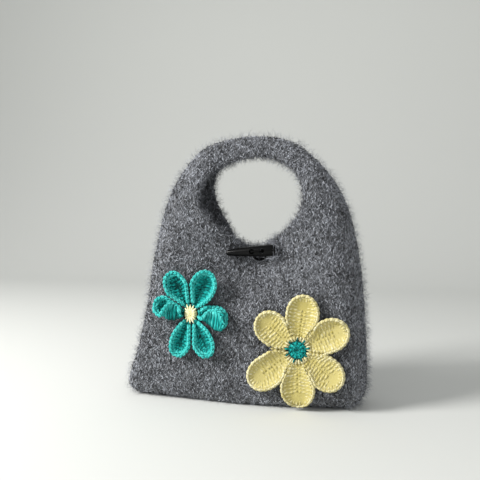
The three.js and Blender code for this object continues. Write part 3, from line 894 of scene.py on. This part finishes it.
def petal_ribs(flower, petal):
    """The upright stitches, as two strands twisted together from the middle row to the rim."""
    share, across = petal_rim(flower, petal, RIB_INSET, RIB_PITCH)
    end_left = across * cloth_width(flower, petal, share, across)
    root_share = np.minimum(share, ROOT_LAST) * ROOT_LEAN
    root_left = np.sign(across) * ROOT_ASIDE
    steps = np.linspace(0, 1, RIB_POINTS)
    shares = root_share[:, None] + (share - root_share)[:, None] * steps
    lefts = root_left[:, None] + (end_left - root_left)[:, None] * steps
    across = np.clip(lefts / cloth_width(flower, petal, shares, lefts), -1, 1)
    paths = petal_face(flower, petal, shares, across)
    run = unit(np.gradient(paths, axis=1))
    rim_run = unit(np.gradient(paths[:, -1], axis=0))[:, None]
    beside = unit(rim_run - run * (rim_run * run).sum(-1, keepdims=True))
    up = np.cross(run, beside)
    apart = np.linalg.norm(np.diff(paths, axis=0), axis=-1)
    apart = np.minimum(np.concatenate([apart[:1], apart]), np.concatenate([apart, apart[-1:]]))
    girths = np.clip(RIB_FILL * apart, ROOT_GIRTH, RIB_GIRTH)
    angle = random.uniform(0, 2 * np.pi, (len(paths), 1)) + steps * RIB_TWIST * np.pi
    girths = girths * (1 + flower["uneven"] * np.sin(RIB_WAVES * angle))
    turned = np.cos(angle)[..., None] * beside + np.sin(angle)[..., None] * up
    offset = RIB_PLY * girths[..., None] * turned
    both = np.concatenate([paths + offset, paths - offset])
    girths = np.concatenate([girths, girths])
    return strands(both, girths, np.concatenate([beside, beside]), STRAND_SIDES)


def petal_chain(flower, petal, inset, lift, way, girth):
    """A chain of stitches along the rim, each a fat lobe that slants in or out."""
    rim = flower["rim"]
    share, across = petal_rim(flower, petal, inset * MM, rim["pitch"])
    share, across = share[share > rim["from"]], across[share > rim["from"]]
    places = petal_face(flower, petal, share, across)
    inner = petal_face(flower, petal, share * RIM_INNER[0], across * RIM_INNER[1])
    run = unit(np.gradient(places, axis=0))
    out = places - inner
    out = unit(out - run * (out * run).sum(-1, keepdims=True))
    up = np.cross(run, out) * (lift * MM)
    slant = out * way * rim["slant"]
    starts = places - run * rim["lap"][0] * rim["pitch"] - slant + up
    ends = places + run * rim["lap"][1] * rim["pitch"] + slant + up
    return lobes(starts, ends, out * rim["bulge"], girth * MM, out)


def spokes(flower, turns, out, up, girth):
    """Straight stitches that point out from a flower's middle, sized in millimetres."""
    ahead = np.broadcast_to(np.array((0.0, -1, 0)), (len(turns), 3))
    ends = []
    for r, height in zip(out, up):
        r = r * MM
        ends.append(laid(flower, 0, r * np.cos(turns), r * np.sin(turns), height * MM + 0 * turns))
    return lobes(*ends, ahead * SPOKE_BULGE, girth * MM, ahead)


def yarn_mesh(name, parts):
    """Stitches as one mesh, with a map along and round each strand and a tone for each.

    parts are sets of strands, each with its tone and how much lighter its far end is; the darker near
    end is painted shade.
    """
    mesh = joined(name, [made for made, tone, painted_shade_inward in parts])
    shares = [made["share"] for made, tone, painted_shade_inward in parts]
    uv = np.concatenate([share.reshape(-1, 2) for share in shares])
    mesh.uv_layers.new(name="yarn").data.foreach_set("uv", uv.astype(np.float32).ravel())
    tones = []
    for share, (made, tone, painted_shade_inward) in zip(shares, parts):
        own = random.normal(0, TONE_SPREAD, (len(share), 1))
        tones.append((tone + painted_shade_inward * (share[:, :, 0] - FADE_MIDDLE) + own).ravel())
    values = np.concatenate(tones).astype(np.float32)
    mesh.attributes.new("tone", "FLOAT", "CORNER").data.foreach_set("value", values)
    return mesh


def yarn_material(name, dark, mid, light):
    """Matt plied cotton: its tone from the stitch, and a fine twist along each strand, whose grooves are
    painted darker as painted shade.
    """
    material, surface, shade = new_material(name, Roughness=0.85, Specular_IOR_Level=0.2)
    tone = shade.node("ShaderNodeAttribute", {"attribute_name": "tone"}, {}, "Fac")
    uv = shade.node("ShaderNodeUVMap", {"uv_map": "yarn"}, {})
    along, around = (
        shade.node("ShaderNodeSeparateXYZ", {}, {"Vector": uv}, axis) for axis in ("X", "Y")
    )
    twist = ((along * PLY_ALONG + around * PLY_AROUND) * (2 * math.pi)).math("SINE")
    place = shade.node("ShaderNodeTexCoord", {}, {}, "Object")
    fluff = shade.node(
        "ShaderNodeTexNoise", {}, {"Vector": place, "Scale": FLUFF_SCALE, "Detail": 2}
    )
    # The twist paints the tone too: its grooves darker, as painted shade.
    mixed = tone + twist * PLY_PAINTED_SHADE + (fluff - 0.5) * FLUFF_TONE
    link(mixed.ramp((0.0, dark), (0.5, mid), (1.0, light)), surface, "Base Color")
    link(bump(shade, twist * PLY_RELIEF + fluff, YARN_RELIEF), surface, "Normal")
    return material


yarns = {}
backing_grid = np.meshgrid(BACKING_ROWS, BACKING_COLUMNS, indexing="ij")
for colour, flower in FLOWERS.items():
    yarns[colour] = yarn_material(
        f"{colour}_yarn", flower["dark"], flower["mid"], flower["light"]
    )
    # One yarn per flower, painted with light and shade: the backing darker than the ribs, and the ribs
    # darker towards the middle row, as painted shade in the cup; the rim chains lighter, as a painted
    # highlight on the rim.
    tones = flower["tones"]
    for number, petal in enumerate(flower["petals"], 1):
        backing = sheet(petal_face(flower, petal, *backing_grid), flower["backing"])
        parts = [
            (backing, tones["backing"], 0),
            (petal_ribs(flower, petal), tones["ribs"], tones["painted_shade_inward"]),
        ]
        for chain in flower["chains"]:
            parts.append((petal_chain(flower, petal, **chain), tones["rim"], 0))
        if colour == "yellow":
            turns = math.radians(petal["turn"]) + BASE_TURNS
            base = spokes(flower, turns, out=(8.8, 14.5), up=(2.6, 4.2), girth=1.3)
            turns = np.full(len(SEAM) - 1, seam_turn(flower, petal))
            seam = spokes(flower, turns, out=(SEAM[:-1], SEAM[1:]), up=(3, 3), girth=1.3)
            parts += [(base, BASE_TONE, 0), (seam, SEAM_TONE, 0)]
        name = f"{colour}_petal_{number}"
        mesh = yarn_mesh(f"{name}_crochet", parts)
        own_piece(f"{name}_crochet", mesh, yarns[colour], name)

# Flower centres: small crocheted rounds that cover the petals' sewn ends. The teal flower's is
# pale, a knot of long loops; the yellow flower's is teal, with a hole in its middle and points
# that reach out over the petals.
PALE_DARK = (0.5, 0.4, 0.12, 1)
PALE_MID = (0.85, 0.77, 0.38, 1)
PALE_LIGHT = (0.97, 0.94, 0.72, 1)
PALE_LOOPS = 16
PALE_REACH = (6.4, 10.4)
PALE_STRAY = 0.9
PALE_KNOTS = 5
# The pale centre's backing is painted darker than its loops, and the loops darker towards the middle, as
# painted shade.
PALE_TONES = {"backing": 0.35, "loops": 0.7, "painted_shade_inward": 0.2, "knots": 0.6}
DISC_GRID = np.linspace(-1, 1, 11)
DISC_STITCHES = 10
DISC_PAIR = (-0.09, 0.09)
DISC_EDGE_R = 8.6 * MM
DISC_EDGE_UP = 3.4 * MM
DISC_EDGE_TURNS = (-0.3, 0.3)
DISC_EDGE_BULGE = 0.4 * MM
DISC_EDGE_GIRTH = 1 * MM
DISC_POINTS = 9
POINT_REACH = (11.8, 13.6)
POINT_STRAY = 0.12
# The teal centre's backing is painted darker than its stitches, and the stitches darker towards the
# middle hole, as painted shade.
DISC_TONES = {"backing": 0.1, "stitches": 0.36, "painted_shade_inward": 0.24, "edge": 0.2, "points": 0.26}


def disc(flower, r, up, thick):
    """A round sheet of cloth, domed from its edge to its middle, sized in millimetres."""
    u, v = np.meshgrid(DISC_GRID, DISC_GRID, indexing="ij")
    x, y = u * np.sqrt(1 - v**2 / 2), v * np.sqrt(1 - u**2 / 2)
    edge_up, middle_up = (height * MM for height in up)
    height = edge_up + (middle_up - edge_up) * (1 - x**2 - y**2)
    return sheet(laid(flower, 0, r * MM * x, r * MM * y, height), thick * MM)


def even_turns(count, share=0.0):
    return (np.arange(count) + share) * 2 * np.pi / count


teal_flower = FLOWERS["teal"]
pale_turns = even_turns(PALE_LOOPS)
pale_reach = PALE_REACH[0] + (PALE_REACH[1] - PALE_REACH[0]) * np.sin(pale_turns) ** 2
pale_reach = pale_reach + random.uniform(-PALE_STRAY, PALE_STRAY, PALE_LOOPS)
pale_backing = disc(teal_flower, r=6.8, up=(2.6, 3.4), thick=2)
pale_loops = spokes(teal_flower, pale_turns, out=(0.6, pale_reach), up=(4.6, 4.4), girth=1.1)
pale_knots = spokes(teal_flower, even_turns(PALE_KNOTS), out=(0.2, 2.6), up=(5, 4.8), girth=0.9)
parts = [
    (pale_backing, PALE_TONES["backing"], 0),
    (pale_loops, PALE_TONES["loops"], PALE_TONES["painted_shade_inward"]),
    (pale_knots, PALE_TONES["knots"], 0),
]
own_piece(
    "pale_centre_crochet",
    yarn_mesh("pale_centre_crochet", parts),
    yarn_material("pale_yarn", PALE_DARK, PALE_MID, PALE_LIGHT),
    "teal_flower_centre",
)

yellow_flower = FLOWERS["yellow"]
disc_turns = np.repeat(even_turns(DISC_STITCHES), 2) + np.tile(DISC_PAIR, DISC_STITCHES)
edge_ends = []
for aside in DISC_EDGE_TURNS:
    turns = even_turns(DISC_STITCHES, 0.5) + aside
    x, z = DISC_EDGE_R * np.cos(turns), DISC_EDGE_R * np.sin(turns)
    edge_ends.append(laid(yellow_flower, 0, x, z, DISC_EDGE_UP + 0 * turns))
ahead = np.broadcast_to(np.array((0.0, -1, 0)), edge_ends[0].shape)
point_turns = even_turns(DISC_POINTS, 0.25)
point_turns = point_turns + random.uniform(-POINT_STRAY, POINT_STRAY, DISC_POINTS)
point_reach = random.uniform(*POINT_REACH, DISC_POINTS)
disc_backing = disc(yellow_flower, r=9.4, up=(2.2, 2.8), thick=2.2)
disc_stitches = spokes(yellow_flower, disc_turns, out=(1.4, 8.9), up=(3.6, 3.6), girth=1.2)
disc_edge = lobes(*edge_ends, ahead * DISC_EDGE_BULGE, DISC_EDGE_GIRTH, ahead)
points = spokes(yellow_flower, point_turns, out=(8.6, point_reach), up=(4.4, 5.4), girth=0.95)
parts = [
    (disc_backing, DISC_TONES["backing"], 0),
    (disc_stitches, DISC_TONES["stitches"], DISC_TONES["painted_shade_inward"]),
    (disc_edge, DISC_TONES["edge"], 0),
    (points, DISC_TONES["points"], 0),
]
own_piece(
    "teal_centre_crochet",
    yarn_mesh("teal_centre_crochet", parts),
    yarns["teal"],
    "yellow_flower_centre",
)

# Toggle: a polished black horn, thin at its left end, with two holes across it. The thread
# through the holes holds it on the front panel.
TOGGLE_HEIGHT = 160 * MM
TOGGLE_TILT = math.radians(4)
HOLES_AT = 34 * MM
HOLE_SPACING = 10.8 * MM
HOLE_R = 2.8 * MM
HOLE_SIDES = 24
DRILL_LENGTH = 30 * MM
HORN = np.array((
    (0, 0), (0, 1.8), (0.8, 2.8), (8, 3.9), (20, 5), (34, 5.8), (46, 6.1), (52.5, 5.6), (54, 4),
    (54, 0),
)) * MM
HORN_STEPS = 5
HORN_SIDES = 32
HORN_SHARP = math.radians(40)
HORN_BLACK = (0.002, 0.002, 0.0022, 1)
HORN_BROWN = (0.005, 0.0048, 0.0045, 1)
STREAK_SCALE = (40, 260, 260)
SMOOTHEST = 0.2
STREAK_ROUGH = 0.15


def smooth_line(rows, steps):
    """A smooth line through rows of places."""
    rows = np.concatenate([2 * rows[:1] - rows[1:2], rows, 2 * rows[-1:] - rows[-2:-1]])
    t = (np.arange(steps) / steps)[:, None]
    spans = []
    for a, b, c, d in zip(rows[:-3], rows[1:-2], rows[2:-1], rows[3:]):
        square = a - 2.5 * b + 2 * c - d / 2
        cube = 1.5 * (b - c) + (d - a) / 2
        spans.append(b + t * (c - a) / 2 + t**2 * square + t**3 * cube)
    return np.concatenate([*spans, rows[-2:-1]])


def horn_mesh():
    """The toggle turned about its length, with its holes cut, in its place on the bag."""
    bm = bmesh.new()
    line = smooth_line(HORN, HORN_STEPS)
    turned = [bm.verts.new((x - HOLES_AT, 0, max(r, 0))) for x, r in line]
    edges = [bm.edges.new(pair) for pair in zip(turned, turned[1:])]
    bmesh.ops.spin(
        bm,
        geom=turned + edges,
        axis=(1, 0, 0),
        cent=(0, 0, 0),
        angle=2 * math.pi,
        steps=HORN_SIDES,
        use_merge=True,
    )
    bmesh.ops.remove_doubles(bm, verts=bm.verts, dist=MERGED)
    bmesh.ops.recalc_face_normals(bm, faces=bm.faces)
    horn = bpy.data.objects.new("horn", bpy.data.meshes.new("horn"))
    bm.to_mesh(horn.data)
    bm.clear()
    for side in (-1, 1):
        made = bmesh.ops.create_cone(
            bm,
            cap_ends=True,
            segments=HOLE_SIDES,
            radius1=HOLE_R,
            radius2=HOLE_R,
            depth=DRILL_LENGTH,
        )
        bmesh.ops.rotate(
            bm, verts=made["verts"], cent=(0, 0, 0), matrix=Matrix.Rotation(math.pi / 2, 3, "X")
        )
        bmesh.ops.translate(bm, verts=made["verts"], vec=(side * HOLE_SPACING / 2, 0, 0))
    drills = bpy.data.objects.new("drills", bpy.data.meshes.new("drills"))
    bm.to_mesh(drills.data)
    bm.free()
    for tool in (horn, drills):
        bpy.context.scene.collection.objects.link(tool)
    cut = horn.modifiers.new("holes", "BOOLEAN")
    cut.operation = "DIFFERENCE"
    cut.object = drills
    mesh = bpy.data.meshes.new_from_object(
        horn.evaluated_get(bpy.context.evaluated_depsgraph_get())
    )
    for tool in (horn, drills):
        bpy.data.objects.remove(tool)
    low, high = (np.array(corner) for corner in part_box("toggle"))
    turn = Matrix.Rotation(-TOGGLE_TILT, 4, "Y")
    ends = [turn @ Vector((x, 0, 0)) for x in (HORN[0, 0] - HOLES_AT, HORN[-1, 0] - HOLES_AT)]
    middle = (low + high) / 2
    place = Vector((middle[0] - (ends[0].x + ends[1].x) / 2, middle[1], TOGGLE_HEIGHT))
    mesh.transform(Matrix.Translation(place) @ turn)
    for face in mesh.polygons:
        face.use_smooth = True
    mesh.set_sharp_from_angle(angle=HORN_SHARP)
    return mesh


def horn_material():
    material, surface, shade = new_material("black_horn", Specular_IOR_Level=0.13)
    place = shade.node("ShaderNodeTexCoord", {}, {}, "Object")
    stretched = shade.node("ShaderNodeMapping", {}, {"Vector": place, "Scale": STREAK_SCALE})
    streak = shade.node("ShaderNodeTexNoise", {}, {"Vector": stretched, "Scale": 1, "Detail": 3})
    link(streak.ramp((0.45, HORN_BLACK), (0.8, HORN_BROWN)), surface, "Base Color")
    link(streak * STREAK_ROUGH + SMOOTHEST, surface, "Roughness")
    return material


own_piece("toggle_horn", horn_mesh(), horn_material(), "toggle")

# Thread and closing loop: the dark thread that holds the toggle, which passes often enough to
# fill its holes, and the dark cord loop from the back panel that hooks round it. Both are held
# by the bag all along, and keep their solids' routes.
CORD_BLACK = (0.002, 0.002, 0.0022, 1)
CORD_GREY = (0.005, 0.005, 0.0055, 1)
CORD_PLY = 1.6 * MM
CORD_RELIEF = 0.3 * MM
THREAD_FULLER = 0.25 * MM
LOOP_FULLER = 0.35 * MM
LOOP_SUNK = 1.8 * MM
HOLE_FILL = 1.5 * MM
HOLE_MOUTH = 2.5 * MM


def cord_material():
    material, surface, shade = new_material("black_cord", Roughness=0.9, Specular_IOR_Level=0.1)
    place = shade.node("ShaderNodeTexCoord", {}, {}, "Object")
    x, y, z = (shade.node("ShaderNodeSeparateXYZ", {}, {"Vector": place}, axis) for axis in "XYZ")
    twist = ((x + y + z) * (2 * math.pi / CORD_PLY)).math("SINE")
    # The twist's grooves are painted near black and its crests grey, as painted shade in the grooves.
    link((twist * 0.5 + 0.5).ramp((0.1, CORD_BLACK), (1, CORD_GREY)), surface, "Base Color")
    link(bump(shade, twist, CORD_RELIEF), surface, "Normal")
    return material


def round_cord(node, fuller, sunk, fill):
    """A copy of a solid's cord, made fuller for the rounding that thins it again.

    It may lie lower than its solid, sunk into the soft rim, and be fuller in the toggle's holes.
    """
    mesh = smooth_copy(node)
    low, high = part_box("toggle")
    moves = []
    for vertex in mesh.vertices:
        in_hole = low[1] + HOLE_MOUTH < vertex.co.y < high[1] - HOLE_MOUTH
        moves.append(vertex.normal * (fuller + fill * in_hole) - Vector((0, 0, sunk)))
    for vertex, move in zip(mesh.vertices, moves):
        vertex.co += move
    return mesh


cord_black = cord_material()
for name, node, fuller, sunk, fill in (
    ("sewing_thread", "toggle_thread", THREAD_FULLER, 0, HOLE_FILL),
    ("hanging_loop", "closing_loop", LOOP_FULLER, LOOP_SUNK, 0),
):
    cord = own_piece(name, round_cord(node, fuller, sunk, fill), cord_black, node)
    rounding = cord.modifiers.new("rounding", "SUBSURF")
    rounding.levels = 2
    rounding.render_levels = 2

# Stage: a pale floor that sweeps up behind the bag, a large soft light from the left, a weak
# one from the right, and even light from all round.
FLOOR_HALF = 3.0
FLOOR_FLAT_TO = 1.0
FLOOR_STRIPS = 120
SWEEP_R = 0.9
FLOOR_COLOUR = (0.66, 0.67, 0.65, 1)
ROOM_COLOUR = (0.8, 0.81, 0.8, 1)
ROOM_STRENGTH = 0.65
bm = bmesh.new()
bmesh.ops.create_grid(bm, x_segments=1, y_segments=FLOOR_STRIPS, size=FLOOR_HALF)
for vertex in bm.verts:
    past = vertex.co.y - FLOOR_FLAT_TO
    turn = min(max(past / SWEEP_R, 0), math.pi / 2)
    if past > 0:
        vertex.co.y = FLOOR_FLAT_TO + SWEEP_R * math.sin(turn)
        vertex.co.z = SWEEP_R * (1 - math.cos(turn)) + past - SWEEP_R * turn
for face in bm.faces:
    face.smooth = True
floor_mesh = bpy.data.meshes.new("floor")
bm.to_mesh(floor_mesh)
bm.free()
floor = bpy.data.objects.new("floor", floor_mesh)
bpy.context.scene.collection.objects.link(floor)
floor_mesh.materials.append(new_material("pale_floor", Base_Color=FLOOR_COLOUR, Roughness=0.8)[0])


def soft_light(name, place, size, watts, colour):
    lamp = bpy.data.lights.new(name, "AREA")
    lamp.shape = "DISK"
    lamp.size = size
    lamp.energy = watts
    lamp.color = colour
    light = bpy.data.objects.new(name, lamp)
    bpy.context.scene.collection.objects.link(light)
    light.location = place
    light.rotation_euler = (Vector(place) - CAMERA_AIM).to_track_quat("Z", "Y").to_euler()


soft_light("window", place=(-1.13, -0.78, 0.92), size=0.6, watts=38, colour=(1.0, 0.99, 0.97))
soft_light("fill", place=(0.9, -1.0, 0.6), size=1.2, watts=1.5, colour=(0.96, 0.98, 1.0))
world = bpy.data.worlds.new("room")
bpy.context.scene.world = world
world.use_nodes = True
background = world.node_tree.nodes["Background"]
background.inputs["Color"].default_value = ROOM_COLOUR
background.inputs["Strength"].default_value = ROOM_STRENGTH
